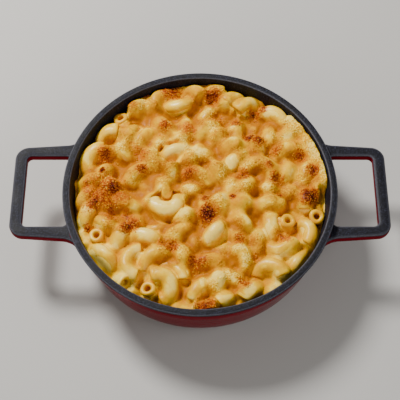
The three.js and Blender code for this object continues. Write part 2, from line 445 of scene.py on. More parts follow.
# shared by the pasta and the cheese
foodFinish = {
    # the deepest orange is partly sauce gathered in the creases and partly painted shade
    "shades": [                 # from bare cream through cheddar to the deep orange of a crease
        (0.04, (0.96, 0.68, 0.12)), (0.22, (0.84, 0.50, 0.01)), (0.42, (0.70, 0.35, 0.0)),
        (0.66, (0.62, 0.27, 0.0)), (1.00, (0.42, 0.14, 0.0))],
    "browns": [
        (0.10, (0.66, 0.24, 0.0)), (0.36, (0.47, 0.110, 0.0)),
        (0.60, (0.22, 0.026, 0.003)), (0.96, (0.056, 0.005, 0.003))],
    "browning": ((0.05, 0.0), (0.30, 1.0)),
    "broad": (95, 3),
    "fine": (800, 3, 0.6),
    "specks": (1000, 2, 0.55),
    "skin": (260, 2),
    "speckSwing": (2.0, 0.06),
    "toastSwing": 2.8,
    "toastPower": 0.7,
    "glossSpread": ((0.35, 0.0), (0.7, 0.18)),
    "depth": 1.4 * mm,          # light goes this far in
    "depthWeight": 0.25,
    "depthColours": [1.0, 0.7, 0.25],
    "skinBump": (0.3, 1.0 * mm),
    "fineDepth": 0.6 * mm,
    "crispBump": (0.8, 1.2 * mm),
}

pastaFinish = {"gloss": 0.24, "shine": 0.22, "grain": 0.12, "mottle": 1.3}
cheddarFinish = {"gloss": 0.34, "shine": 0.07, "grain": 0.22, "mottle": 2.4}


def foodMaterial(name, finish):
    material, tree = newMaterial(name)
    cheddar, toast, crumbly = (addShare(tree, share) for share in ("cheddar", "toast", "crumbly"))
    broad, fine, specks = (addNoise(tree, *foodFinish[noise]) for noise in ("broad", "fine", "specks"))
    share = addMath(tree, "ADD", cheddar, addSwing(tree, broad, finish["mottle"]))
    grainy = addMath(tree, "MULTIPLY", addSwing(tree, specks, *foodFinish["speckSwing"]), crumbly)
    share = addMath(tree, "ADD", share, grainy, clamp=True)
    colour = addRamp(tree, share, foodFinish["shades"])
    # browning starts in specks and closes up towards the middle of a spot
    eased = addMath(tree, "POWER", toast, foodFinish["toastPower"])
    spread = addMath(tree, "MULTIPLY", addSwing(tree, specks, foodFinish["toastSwing"]), eased)
    toasted = addMath(tree, "ADD", toast, spread, clamp=True)
    brown = addRamp(tree, toasted, foodFinish["browns"])
    cover = addGrade(tree, toasted, *foodFinish["browning"])
    wet = [(place, finish["gloss"] + more) for place, more in foodFinish["glossSpread"]]
    skin = addBump(tree, addNoise(tree, *foodFinish["skin"]), *foodFinish["skinBump"])
    skin = addBump(tree, fine, finish["grain"], foodFinish["fineDepth"], skin)
    crisp = addMath(tree, "MULTIPLY", specks, addMath(tree, "ADD", toast, crumbly))
    return feedShader(material, {
        "Base Color": addMix(tree, cover, colour, brown),
        "Roughness": addGrade(tree, broad, *wet),
        "Specular IOR Level": finish["shine"],
        "Subsurface Weight": foodFinish["depthWeight"],
        "Subsurface Radius": foodFinish["depthColours"],
        "Subsurface Scale": foodFinish["depth"],
        "Normal": addBump(tree, crisp, *foodFinish["crispBump"], skin),
    })


heapSizes = {
    "topCentre": 45.4 * mm,
    "topEdge": 43.4 * mm,
    "radius": 78 * mm,
    "sauceDepth": 8.0 * mm,
    "edgeDrop": 1.2 * mm,       # of bare sauce where it meets the wall
    "edgeRise": 4.5 * mm,       # of melted cheese where it clings to the wall
    "bankRise": 4.4 * mm,       # of the pale crust above that
    "floorGap": 0.35 * mm,
    "wallGap": 0.1 * mm,
    "skirt": 3 * mm,            # the skin meets the wall this far below the top's edge
    "skirtDepth": 6 * mm,
    "cornerSteps": 4,
    "cells": 290,               # of the skin across the pan
}

elbowSizes = {
    "tube": 4.75 * mm,
    "bore": 1.75 * mm,
    "boreDepth": 5 * mm,
    "boreNarrows": 0.9,
    "boreMouth": 1.2 * mm,
    "bend": 8.6 * mm,
    "lip": 1.35 * mm,
    "lipBack": 0.2 * mm,
    "lipTurns": (0.15, 0.85),   # of half a turn round the cut end
    "lipSteps": 5,
    "endMargin": 0.5 * mm,
    "sides": 20,
    "steps": 14,
    "lineSteps": 13,            # where its highest point is looked for
    "wobble": 0.2 * mm,
    "wave": 2.1 * mm,
    "oval": 0.05,
    "phases": (7, 9, 5),        # of the oval and of the two waves
}

# Elbows that show: x and y in mm, heading, roll, pitch, arc, and sink in mm below the heap's top. Roll 0
# lies flat with its bulge to the left of its heading, 90 stands as an arch, -90 has its open ends up.
shownElbows = [
    # left side, back to front
    (-49.5, 55, -95, -88, 27, 70, 0), (-61, 41, 20, 15, 0, 125, 0.5), (-69.5, 23, 90, 8, 0, 160, 0),
    (-54, 13, 182, -80, 8, 110, 1), (-70.5, 7, 12, 55, 0, 110, 1.5), (-72, -6, 75, 65, 0, 100, 2.5),
    (-70, -18, 62, 55, 0, 110, 1.5), (-59, -20, 105, 70, 0, 100, 1.5),
    (-59.5, -28.5, 215, -85, 25, 80, 0.5),
    (-49, -34, 52, 65, 0, 110, 0.5), (-55.5, -46, -25, 18, 0, 155, 0.8), (-42, -47, 105, 8, 0, 160, 0.5),
    (-34, -31, -5, 50, 0, 125, 0), (-29, -45, 58, 30, 0, 105, 0),
    # front
    (-29, -62, -95, -88, 27, 70, 0.3), (-20.5, -63, -68, 4, 0, 165, 0), (-16, -51, -30, 12, 0, 130, 3),
    (1, -63, 12, 60, 0, 110, 1), (17, -70, 18, 50, 0, 105, 2), (31, -65, 33, 50, 0, 115, 1),
    (26.5, -47, -62, 40, -12, 105, 0.3), (41, -51, 0, 15, 0, 145, 0.5), (49, -38, 196, 22, 0, 115, 0),
    (59, -48, 45, 60, 0, 105, 2.5),
    # right side, front to back
    (66, -27, -88, 30, 0, 110, 0.5), (72, -13, 250, -65, 14, 95, 1.5), (52.6, -24, 95, -85, 26, 100, 0.3),
    (43, -22, 95, 60, 0, 105, 1), (65, -3, 90, 75, 0, 100, 1), (49, 0, 200, -65, 10, 110, 0.5),
    (41, -8, 60, 60, 0, 110, 0.5), (37, 18, 0, 15, 0, 140, 0), (56, 30, 10, 45, 0, 105, 0.5),
    (68, 16, 80, 60, 0, 100, 1.5), (55, 41, 85, 60, 0, 95, 1.5), (45, 43, 60, 65, 0, 95, 2),
    (48.5, 57, -10, 50, 0, 110, -1),
    # back
    (31, 65, 35, 60, 6, 115, -1.5), (22.5, 69, 46, 70, 8, 95, -2), (8, 73, -15, 60, 0, 100, -1.2),
    (-5, 74, 5, 45, 0, 100, -1.5), (-14.5, 63.5, 212, 25, 0, 110, -1), (-25, 70.5, 55, 22, 0, 125, -1),
    (-38, 65, 35, 60, 0, 105, 0),
    # middle, mostly under the cheese
    (-20, -10, 182, 10, 0, 160, 0), (-12, -27, 50, 70, 0, 105, 1.5), (8, -30, 62, 70, 0, 105, 0),
    (-17, 28, 18, 60, 0, 115, 0.5), (20, 20, 52, 70, 0, 110, 0.5), (5, -15, 120, 60, 0, 110, 1),
    (-2, 12, -20, 40, 0, 120, 1.5), (3, 44, 35, 50, 0, 115, 1), (-36, 38, 60, 55, 0, 110, 1.5),
    (-38, 14, 15, 45, 0, 120, 1.5), (20, 2, 80, 40, 0, 115, 2), (-46, -6, 130, 60, 0, 110, 1.5),
    (22, -29, 150, 50, 0, 115, 2), (5, -47, 20, 60, 0, 110, 1.5), (24, 40, 120, 50, 0, 115, 1.5),
    (-20, 46, 150, 60, 0, 105, 2),
]

# the loose elbows between and below them; ranges are of heading, roll, pitch, arc and sink
fillerRule = {
    "places": 260,
    "spacing": 8.5,
    "fromWall": 4,
    "ranges": [(0, 360), (20, 110), (-8, 8), (90, 125), (1.5, 7.5)],
    "seed": 2025,
    "keptClear": [(-20, -3)],   # between the ends of the elbow that shows there
}

# overlapping elbows push each other apart
settleRule = {
    "rounds": 70,
    "balls": 7,
    "squeeze": 0.95,            # share of the tube's width that neighbours keep apart
    "shownWeight": 16.0,
    "pullHome": 0.06,
    "stride": 0.9,
    "turning": 0.5,
    "pushDown": 0.5,
    "headroom": 0.6 * mm,       # above the heap's mean top
}


def heapTop(x, y):
    drop = heapSizes["topCentre"] - heapSizes["topEdge"]
    return heapSizes["topCentre"] - drop * (x * x + y * y) / heapSizes["radius"] ** 2


# the same draws each time, as shares of one
def seededDraws(seed):
    multiplier, modulus = 16807, 2147483647
    state = seed
    while True:
        state = (state * multiplier) % modulus
        yield state / modulus


def fillerElbows():
    draws = seededDraws(fillerRule["seed"])
    taken = [(row[0], row[1]) for row in shownElbows] + fillerRule["keptClear"]
    reach = heapSizes["radius"] / mm - fillerRule["fromWall"]
    rows = []
    for i in range(fillerRule["places"]):
        radius = reach * math.sqrt((i + 0.5) / fillerRule["places"])
        turn = i * math.pi * (3 - math.sqrt(5))
        x, y = radius * math.cos(turn), radius * math.sin(turn)
        drawn = [low + (high - low) * next(draws) for low, high in fillerRule["ranges"]]
        if any(math.hypot(u - x, v - y) < fillerRule["spacing"] for u, v in taken):
            continue
        taken.append((x, y))
        rows.append((x, y, *drawn))
    return rows


# how far the middle of an arc stands off from the mean of its line
def arcRise(arc):
    return elbowSizes["bend"] * math.sin(arc / 2) / (arc / 2)


def elbowLine(arc, steps):
    turn = np.linspace(-0.5, 0.5, steps) * arc
    line = np.zeros((steps, 3))
    line[:, 0] = elbowSizes["bend"] * np.sin(turn)
    line[:, 1] = elbowSizes["bend"] * np.cos(turn) - arcRise(arc)
    return line


# places and turns of all elbows before they settle
def placeElbows():
    places, turns, arcs = [], [], []
    for x, y, heading, roll, pitch, arc, sink in shownElbows + fillerElbows():
        turn = Euler((math.radians(roll), math.radians(-pitch), math.radians(heading)), "XYZ")
        turn = np.array(turn.to_matrix())
        arc = math.radians(arc)
        highest = (elbowLine(arc, elbowSizes["lineSteps"]) @ turn.T)[:, 2].max()
        x, y = x * mm, y * mm
        places.append((x, y, heapTop(x, y) - sink * mm - elbowSizes["tube"] - highest))
        turns.append(turn)
        arcs.append(arc)
    return np.array(places), np.array(turns), np.array(arcs)


def settleElbows(places, turns, arcs):
    balls, tube = settleRule["balls"], elbowSizes["tube"]
    lines = np.array([elbowLine(arc, balls) for arc in arcs])
    count = len(places)
    weight = np.where(np.arange(count) < len(shownElbows), settleRule["shownWeight"], 1.0)
    owner = np.repeat(np.arange(count), balls)
    ballWeight = weight[owner]
    share = ballWeight[None, :] / (ballWeight[None, :] + ballWeight[:, None])
    other = owner[:, None] != owner[None, :]
    home = places.copy()
    apart = 2 * tube * settleRule["squeeze"]
    tiny = 1e-9
    for _ in range(settleRule["rounds"]):
        arms = np.einsum("nij,nkj->nki", turns, lines)
        spots = (places[:, None, :] + arms).reshape(-1, 3)
        away = spots[:, None, :] - spots[None, :, :]
        distance = np.sqrt((away ** 2).sum(2)) + tiny
        overlap = np.where(other, np.clip(apart - distance, 0, None), 0) * share
        shift = (away / distance[..., None] * overlap[..., None]).sum(1)
        radius = np.hypot(spots[:, 0], spots[:, 1])
        limit = insideRadius(spots[:, 2], heapSizes["wallGap"]) - tube
        beyond = np.clip(radius - limit, 0, None)
        shift[:, :2] -= spots[:, :2] / (radius[:, None] + tiny) * beyond[:, None]
        ceiling = heapTop(spots[:, 0], spots[:, 1]) + settleRule["headroom"]
        above = np.clip(spots[:, 2] + tube - ceiling, 0, None)
        shift[:, 2] -= settleRule["pushDown"] * above
        touching = (overlap > 0).sum(1) + (beyond > 0) + (above > 0)
        shift = shift.reshape(count, balls, 3)
        contacts = np.maximum(touching.reshape(count, balls).sum(1), 1)[:, None]
        step = settleRule["stride"] * shift.sum(1) / contacts
        places = places + step + settleRule["pullHome"] * (home - places)
        spins = np.cross(arms, shift).sum(1) / (arms ** 2).sum((1, 2))[:, None]
        spins = [np.array(Euler(settleRule["turning"] * spin).to_matrix()) for spin in spins]
        turns = np.array([spin @ turn for spin, turn in zip(spins, turns)])
    return places, turns


# the sleeve of one elbow, as place along its line and radius, from bore to bore
def sleeveRings(length):
    tube, bore, lip = elbowSizes["tube"], elbowSizes["bore"], elbowSizes["lip"]
    middle, half = (tube + bore) / 2, (tube - bore) / 2
    end = length / 2
    mouth = [(elbowSizes["boreDepth"] - end, bore * elbowSizes["boreNarrows"]),
             (elbowSizes["boreMouth"] - end, bore)]
    for turn in np.linspace(*elbowSizes["lipTurns"], elbowSizes["lipSteps"]) * math.pi:
        along = -end - lip * math.sin(turn) + elbowSizes["lipBack"]
        mouth.append((along, middle - half * math.cos(turn)))
    body = length - 2 * elbowSizes["endMargin"]
    rings = [((share - 0.5) * body, tube) for share in np.linspace(0, 1, elbowSizes["steps"])]
    return mouth + rings + [(-along, radius) for along, radius in mouth[::-1]]


# swing, from 0 to 1, shifts the waves so that no two elbows have the same
def elbowPoints(arc, swing):
    bend, sides = elbowSizes["bend"], elbowSizes["sides"]
    rings = np.array(sleeveRings(bend * arc))
    inside = np.clip(rings[:, 0], -bend * arc / 2, bend * arc / 2)
    beyond = rings[:, 0] - inside
    turn = inside / bend
    along = np.stack([np.cos(turn), -np.sin(turn), 0 * turn], 1)
    outward = np.stack([np.sin(turn), np.cos(turn), 0 * turn], 1)
    centre = outward * bend + along * beyond[:, None] - [0, arcRise(arc), 0]
    around = np.arange(sides) * 2 * math.pi / sides
    ovalPhase, *phases = (phase * swing for phase in elbowSizes["phases"])
    oval = 1 + elbowSizes["oval"] * math.sin(ovalPhase)
    wave = 1 + elbowSizes["wobble"] / elbowSizes["tube"] * (
        np.sin(rings[:, :1] / elbowSizes["wave"] + phases[0] + 2 * around)
        + np.sin(3 * around + phases[1]))
    reach = rings[:, 1:] * wave
    points = centre[:, None, :] + outward[:, None, :] * (reach * oval * np.cos(around))[..., None]
    return points + np.array([0, 0, 1]) * (reach / oval * np.sin(around))[..., None]


def sleeveFaces(ringCount, sides, start):
    ring = np.arange(ringCount - 1)[:, None] * sides
    side = np.arange(sides)[None, :]
    after = (side + 1) % sides
    quads = np.stack([ring + side, ring + sides + side, ring + sides + after, ring + after], 2)
    return (start + quads.reshape(-1, 4)).tolist()


# how much of each thing goes into the pasta's shade
pastaShade = {
    "base": 0.2,
    "cover": 0.3,
    # crease and coveredCrease deepen the orange below the crests: partly sauce in the hollows, partly
    # painted shade
    "crease": 0.25,
    "coveredCrease": 0.25,
    "pale": -0.2,
    # side deepens the orange of sides and undersides, as painted shade
    "side": 0.22,
    "cutEnd": 0.16,
    "cutRings": 6,
}


def makeMacaroni(places, turns, arcs, maps, material):
    points, faces, cut, start = [], [], [], 0
    goldenShare = 0.618
    for i, (place, turn, arc) in enumerate(zip(places, turns, arcs)):
        local = elbowPoints(arc, (i * goldenShare) % 1)
        ringCount, sides = local.shape[:2]
        ring = np.arange(ringCount)
        atEnd = np.minimum(ring, ring[::-1]) < pastaShade["cutRings"]
        cut.append(np.repeat(atEnd, sides).astype(float))
        points.append(local.reshape(-1, 3) @ turn.T + place)
        faces += sleeveFaces(ringCount, sides, start)
        faces.append(list(range(start, start + sides)))
        last = start + (ringCount - 1) * sides
        faces.append(list(range(last + sides - 1, last - 1, -1)))
        start += ringCount * sides
    points = np.vstack(points)
    macaroni = meshPiece("macaroni", points, faces)
    turnOutward(macaroni)
    bpy.ops.object.shade_smooth()
    x, y, z = points.T
    crease = creaseShare(maps, x, y, z)
    cover = readMap(maps["cheddar"], x, y)
    share = pastaShade["base"] + pastaShade["cover"] * cover
    # painted shade, partly sauce: the further below the crests, the deeper the orange
    share += (pastaShade["crease"] + pastaShade["coveredCrease"] * cover) * crease
    share += pastaShade["pale"] * readMap(maps["pale"], x, y)
    # sides and undersides get a deeper orange as painted shade, and cut ends take up more of the sauce's
    # colour
    share += pastaShade["side"] * (1 - normalRise(macaroni))
    share += pastaShade["cutEnd"] * np.concatenate(cut)
    addAttribute(macaroni, "cheddar", share)
    addAttribute(macaroni, "toast", readMap(maps["toast"], x, y) * (1 - crease))
    addAttribute(macaroni, "crumbly", 0 * x)
    macaroni.data.materials.append(material)
    finishPiece(macaroni, "baked_pasta")


# Melted cheese: x, y, radius in mm and how much it adds, or takes away where it is below nothing.
cheeseBlobs = [
    (-10, 10, 46, 1.0), (20, 20, 40, 1.0), (-25, 45, 26, 0.9), (0, 66, 22, 0.8), (-18, 74, 12, 0.6),
    (-56, 4, 20, 1.0), (-48, -16, 14, 1.0), (-50, 26, 16, 0.7), (42, 30, 22, 0.8), (62, 20, 13, 0.8),
    (8, -35, 28, 0.9), (16, -56, 14, 0.8), (52, 4, 18, 0.7), (66, -2, 9, 0.7), (50, -30, 8, 0.6),
    (33, 56, 8, 0.6), (3, -75, 7, 0.7), (-15, -38, 14, 0.7), (-36, 66, 12, 0.7), (28, -40, 12, 0.6),
    (72, 34, 14, 0.9), (76, 12, 9, 0.9), (62, 50, 9, 0.7), (-17, 28, 11, -1.0), (20, 20, 7, -0.8),
    (-20, -10, 11, -0.9), (-20, -3, 4, 1.8), (9, -29, 9, -0.9), (-34, -31, 9, -0.8), (-40, 46, 5, -0.7),
    (-4, 52, 4, -0.7), (49, -38, 9, -0.7), (54, -22, 8, -0.6), (30, 63, 8, -0.8), (-12, -26, 5, -0.6),
    (-25, 70, 8, -1.2), (-15, 64, 9, -1.3), (56, 30, 5, -0.6), (-61, 41, 8, -0.8),
]

# Pale crust with hardly any cheddar: x, y, radius in mm
paleBlobs = [
    (73, 32, 13), (78, 12, 10), (64, 50, 11), (77, 22, 10), (-17, 27, 11), (20, 20, 7), (-36, 62, 5),
    (36, 68, 8), (-20, -12, 11), (9, -29, 8), (-34, -31, 7), (14, -74, 16), (-9, -75, 10),
    (42, -63, 10), (-45, -62, 10), (-70, -30, 8),
]

# Browned spots: x, y, radius in mm and how dark they are in the middle.
toastSpots = [
    (-18, 73, 8, 0.62), (8, 68, 5.5, 0.85), (-35, 71, 3, 0.8), (34, 56, 4.2, 0.95), (40, 60, 3.5, 0.6),
    (23, 49, 4, 0.6), (12, 54, 4.5, 0.5), (-22, 47, 4.5, 0.5), (-7, 44, 5.5, 0.45), (31, 38, 4, 0.9),
    (37, 35, 4, 0.7), (47, 29, 5, 0.45), (63, 25, 4.5, 0.9), (70, 14, 4, 0.85), (-59, 25, 5.5, 0.6),
    (-60.3, 12.8, 2, 0.9), (-38, 26, 5.5, 0.5), (-36, 15, 4, 0.6), (-8, 12, 6, 0.55), (26, 11, 5, 0.6),
    (43, 17, 3, 0.6), (47, 8, 5, 0.5), (67, -4, 6, 0.9), (49, -3, 2, 0.9), (20, -5, 2.4, 0.9),
    (5, -17, 6.5, 1.0), (3, -6, 4, 0.6), (-58, -3, 15, 0.5), (-53, 1, 5, 0.8), (-64, -9, 5.5, 0.75),
    (-54, -16, 5, 0.6), (-45, -16, 4, 0.8), (-43, -24, 6, 0.9), (-17, -38, 4.2, 0.95),
    (-22, -36, 4, 0.5), (-2, -48, 6.5, 0.55), (3, -75, 6, 0.75), (24, -33, 4.5, 0.45),
    (50, -31, 5.5, 0.55), (26, -61, 4.5, 0.5), (-68, -24, 3, 0.6), (-70, 3, 4, 0.5), (-47, 64, 4, 0.4),
    (33, -45, 3, 0.5),
]

mapSizes = {
    "half": 80 * mm,
    "step": 0.4 * mm,
    "reach": 22,                # steps on each side that a skin bridges
    "nothing": -1.0,            # height where there is no elbow
    "lineSteps": 28,
    "endBack": 0.3 * mm,
}


def latticeNoise(x, y, cell, seed):
    size, shift = 96, 40.0
    lattice = np.random.default_rng(seed).random((size, size))
    u, v = x / cell + shift, y / cell + shift
    i, j = np.floor(u).astype(int), np.floor(v).astype(int)
    fu, fv = u - i, v - j
    fu, fv = fu * fu * (3 - 2 * fu), fv * fv * (3 - 2 * fv)
    i, j = i % (size - 1), j % (size - 1)
    low = lattice[i, j] * (1 - fu) + lattice[i + 1, j] * fu
    high = lattice[i, j + 1] * (1 - fu) + lattice[i + 1, j + 1] * fu
    return low * (1 - fv) + high * fv


# four layers of noise, from 0 to 1
def cloudNoise(x, y, cell, seed):
    sizes = [1, 1 / 2, 1 / 4, 1 / 8]
    layers = [size * latticeNoise(x, y, cell * size, seed + k) for k, size in enumerate(sizes)]
    return sum(layers) / sum(sizes)


# height of the elbows' upper skin, cut off at their ends unless they are closed
def elbowHeights(places, turns, arcs, axis, closed=False):
    step, nothing, tube = mapSizes["step"], mapSizes["nothing"], elbowSizes["tube"]
    heights = np.full((len(axis), len(axis)), nothing)
    for place, turn, arc in zip(places, turns, arcs):
        line = elbowLine(arc, mapSizes["lineSteps"]) @ turn.T + place
        ends = [(line[0], line[0] - line[1]), (line[-1], line[-1] - line[-2])]
        low = np.floor((line[:, :2].min(0) - tube - axis[0]) / step).astype(int)
        high = np.ceil((line[:, :2].max(0) + tube - axis[0]) / step).astype(int) + 1
        low, high = np.clip(low, 0, len(axis)), np.clip(high, 0, len(axis))
        x, y = np.meshgrid(axis[low[0]:high[0]], axis[low[1]:high[1]], indexing="ij")
        skin = np.full(x.shape, nothing)
        for centre in line:
            square = tube ** 2 - (x - centre[0]) ** 2 - (y - centre[1]) ** 2
            cap = np.where(square > 0, centre[2] + np.sqrt(np.clip(square, 0, None)), nothing)
            skin = np.maximum(skin, cap)
        for end, along in () if closed else ends:
            along = along / np.linalg.norm(along)
            past = (x - end[0]) * along[0] + (y - end[1]) * along[1] + (skin - end[2]) * along[2]
            skin = np.where(past > -mapSizes["endBack"], nothing, skin)
        window = heights[low[0]:high[0], low[1]:high[1]]
        np.maximum(window, skin, out=window)
    return heights


def slide(heights, bend, sign):
    for axis in (0, 1):
        best = heights.copy()
        for k in range(1, mapSizes["reach"] + 1):
            fall = (k * mapSizes["step"]) ** 2 / (2 * bend)
            for move in (k, -k):
                moved = np.roll(heights, move, axis) - sign * fall
                best = np.maximum(best, moved) if sign > 0 else np.minimum(best, moved)
        heights = best
    return heights


# a skin that bridges the hollows narrower than its bend
def bridge(heights, bend):
    return slide(slide(heights, bend, 1), bend, -1)


def soften(heights, width):
    step = mapSizes["step"]
    reach = int(3 * width / step) + 1
    share = np.exp(-0.5 * (np.arange(-reach, reach + 1) * step / width) ** 2)
    share /= share.sum()
    for axis in (0, 1):
        heights = sum(s * np.roll(heights, k - reach, axis) for k, s in enumerate(share))
    return heights


def readMap(values, x, y):
    u, v = (x + mapSizes["half"]) / mapSizes["step"], (y + mapSizes["half"]) / mapSizes["step"]
    i = np.clip(np.floor(u).astype(int), 0, len(values) - 2)
    j = np.clip(np.floor(v).astype(int), 0, len(values) - 2)
    fu, fv = u - i, v - j
    return ((values[i, j] * (1 - fu) + values[i + 1, j] * fu) * (1 - fv)
            + (values[i, j + 1] * (1 - fu) + values[i + 1, j + 1] * fu) * fv)


# Noises are width and seed, and edges and fades are where a patch starts and stops fading.
patchRule = {
    "cheeseEdge": (0.55, 1.25),
    "takenTwice": 2,            # a blob that takes cheese away counts this often
    "cheeseRagged": 0.9,
    "cheeseNoise": (13 * mm, 11),
    "cheeseFade": (0.25, 0.75),
    "paleEdge": (0.5, 1.2),
    "toastEdge": (0.05, 1.15),
    "toastSpread": 1.35,
    "toastRagged": 0.45,
    "toastNoise": (4.5 * mm, 31),
}


# distance from a patch's middle, as a share of its radius
def patchDistance(x, y, middleX, middleY, radius):
    return np.hypot(x - middleX * mm, y - middleY * mm) / (radius * mm)


def cheeseShare(x, y):
    total = np.zeros_like(x)
    for *patch, gain in cheeseBlobs:
        times = 1 if gain > 0 else patchRule["takenTwice"]
        total += gain * (1 - smoothStep(*patchRule["cheeseEdge"], patchDistance(x, y, *patch))) * times
    total += patchRule["cheeseRagged"] * (cloudNoise(x, y, *patchRule["cheeseNoise"]) - 0.5)
    return smoothStep(*patchRule["cheeseFade"], total)


def paleShare(x, y):
    shares = (1 - smoothStep(*patchRule["paleEdge"], patchDistance(x, y, *patch)) for patch in paleBlobs)
    return np.max(list(shares), 0)


def toastAmount(x, y):
    most = np.zeros_like(x)
    ragged = patchRule["toastRagged"] * (cloudNoise(x, y, *patchRule["toastNoise"]) - 0.5)
    for middleX, middleY, radius, dark in toastSpots:
        distance = patchDistance(x, y, middleX, middleY, radius * patchRule["toastSpread"])
        most = np.maximum(most, dark * (1 - smoothStep(*patchRule["toastEdge"], distance + ragged)))
    return most


cheeseSizes = {
    "nearWall": (68 * mm, 77 * mm),
    "sauceWaves": 1.4 * mm,
    "sauceNoise": (9 * mm, 3),
    "sauceBend": 1.0 * mm,      # hollows narrower than this are full of sauce
    "sauceBelow": 0.35 * mm,    # elsewhere the sauce lies below the pasta's skin
    "blanketBend": 1.3 * mm,
    "soften": 0.4 * mm,
    "blanketThickness": 0.6 * mm,
    "blanketLeast": 0.8,        # share of the thickness, and what the lumps add
    "blanketLumps": 0.6,
    "lumpNoise": (3.2 * mm, 21),
    "poolBend": 4.0 * mm,       # where the cheese has run together
    "poolShare": 0.6,
    "poolNoise": (15 * mm, 61),
    "poolFade": (0.50, 0.66),
    "blister": 0.5 * mm,
    "blisterNoise": (1.9 * mm, 41),
    "blisterGain": 2,
    "blisterSink": 0.6,
    "bankBlister": 0.6,
    "toastHolds": (0.25, 0.6),  # toast from where the blanket lies whole
    "crestBend": 14 * mm,
    "crestSoften": 1.5 * mm,
    # below the crests the deeper orange is partly sauce and partly painted shade
    "creaseDepth": 3.6 * mm,    # this far below the crests the colour is that of a crease
    "highest": 47.5 * mm,
    "paleTakes": 0.6,           # of the cheddar's colour
    "crumblyNoise": (8 * mm, 51),
    "crumblyFade": (0.42, 0.62),
    "crumblyToast": 0.35,
    "crumblyBank": 0.3,
}


def shapeCheese(places, turns, arcs):
    sizes = cheeseSizes
    axis = np.arange(-mapSizes["half"], mapSizes["half"] + mapSizes["step"] / 2, mapSizes["step"])
    x, y = np.meshgrid(axis, axis, indexing="ij")
    pasta = elbowHeights(places, turns, arcs, axis)
    cheese, toast, pale = cheeseShare(x, y), toastAmount(x, y), paleShare(x, y)
    nearWall = smoothStep(*sizes["nearWall"], np.hypot(x, y))
    bank = pale * nearWall
    waves = sizes["sauceWaves"] * (cloudNoise(x, y, *sizes["sauceNoise"]) - 0.5)
    level = heapTop(x, y) - heapSizes["sauceDepth"] + waves
    level += nearWall * (heapSizes["edgeRise"] * cheese - heapSizes["edgeDrop"] * (1 - cheese))
    level += bank * heapSizes["bankRise"]
    # the sauce fills the narrow hollows between the elbows
    ground = np.maximum(pasta, level)
    sauce = soften(bridge(ground, sizes["sauceBend"]), sizes["soften"])
    sauce -= sizes["sauceBelow"]
    # the cheddar lies over them, and has run together in places
    closed = np.maximum(elbowHeights(places, turns, arcs, axis, closed=True), level)
    pools = smoothStep(*sizes["poolFade"], cloudNoise(x, y, *sizes["poolNoise"]))
    blanket = bridge(closed, sizes["blanketBend"])
    pool = bridge(closed, sizes["poolBend"])
    blanket += sizes["poolShare"] * pools * (pool - blanket)
    blanket = soften(blanket, sizes["soften"])
    lumps = sizes["blanketLumps"] * (cloudNoise(x, y, *sizes["lumpNoise"]) - 0.5)
    blanket += sizes["blanketThickness"] * (sizes["blanketLeast"] + lumps)
    grains = cloudNoise(x, y, *sizes["blisterNoise"]) * sizes["blisterGain"]
    blistered = np.maximum(toast, sizes["bankBlister"] * bank)
    blanket += sizes["blister"] * blistered * (grains - sizes["blisterSink"])
    covered = np.maximum(cheese, smoothStep(*sizes["toastHolds"], toast))
    skin = np.minimum(sauce + (blanket - sauce) * covered, sizes["highest"])
    crumbs = cloudNoise(x, y, *sizes["crumblyNoise"]) + sizes["crumblyToast"] * toast
    crumbs += sizes["crumblyBank"] * bank
    return {
        "skin": skin,
        "top": np.maximum(skin, pasta),
        "crest": soften(bridge(ground, sizes["crestBend"]), sizes["crestSoften"]),
        "cheddar": cheese * (1 - sizes["paleTakes"] * pale),
        "pale": pale,
        "toast": toast,
        "crumbly": cheese * smoothStep(*sizes["crumblyFade"], crumbs),
    }


def creaseShare(maps, x, y, z):
    return np.clip((readMap(maps["crest"], x, y) - z) / cheeseSizes["creaseDepth"], 0, 1)


# an even grid drawn out to a disc
def discGrid(cells):
    line = np.linspace(-1, 1, cells + 1)
    u, v = np.meshgrid(line, line, indexing="ij")
    radius = np.maximum(np.abs(u), np.abs(v))
    alongU = np.abs(u) >= np.abs(v)
    turn = np.where(alongU, v / np.where(u == 0, 1, u), u / np.where(v == 0, 1, v))
    angle = turn * math.pi / 4
    wide, tall = np.cos(angle), np.sin(angle)
    x = np.where(alongU, u * wide, v * tall)
    y = np.where(alongU, u * tall, v * wide)
    return x * (radius > 0), y * (radius > 0)


# radius and height of the rings below the skin, down the inside of the pan
def bowlWalls(topHeight):
    gap = heapSizes["floorGap"]
    height = topHeight - heapSizes["skirtDepth"]
    corner = bowlCorner(panSizes["wallThickness"] + gap, panSizes["floorThickness"] + gap,
                        panSizes["innerCorner"], heapSizes["cornerSteps"])
    return [(insideRadius(height, gap), height)] + corner[::-1]


# how much of each thing goes into the cheese's shade
cheeseShade = {
    "base": 0.06,
    "cover": 0.30,
    # crease and coveredCrease deepen the orange below the crests: partly sauce in the hollows, partly
    # painted shade
    "crease": 0.45,
    "coveredCrease": 0.45,
    "toast": 0.5,
    "toastLostInCrease": 0.6,
}


